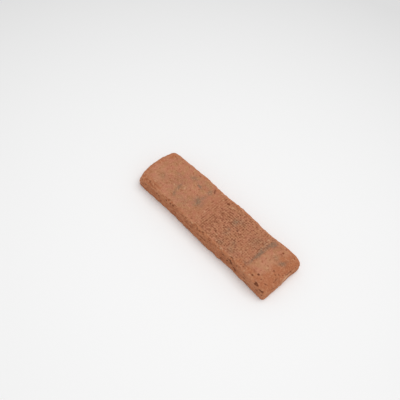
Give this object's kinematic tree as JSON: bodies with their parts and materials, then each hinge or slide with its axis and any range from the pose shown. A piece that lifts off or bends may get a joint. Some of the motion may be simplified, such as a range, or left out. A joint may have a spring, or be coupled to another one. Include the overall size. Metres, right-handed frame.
{
  "type": "brick slip",
  "caption": "Thin reclaimed-style fired clay facing brick with tumbled edges and a flat sawn back, bonded to a wall to look like brickwork.",
  "frame": {"origin": "middle of the sawn back face, on the level that the slip lies on", "axes": "+X along the slip to its more deeply worn end, +Y across to its high bed edge, +Z out of the weathered face"},
  "size_m": [0.2161, 0.064, 0.02],
  "materials": {
    "fired_clay": "matt, grainy, weathered orange-red clay"
  },
  "bodies": {
    "root": {"brick_slip": "fired_clay"}
  },
  "joints": []
}
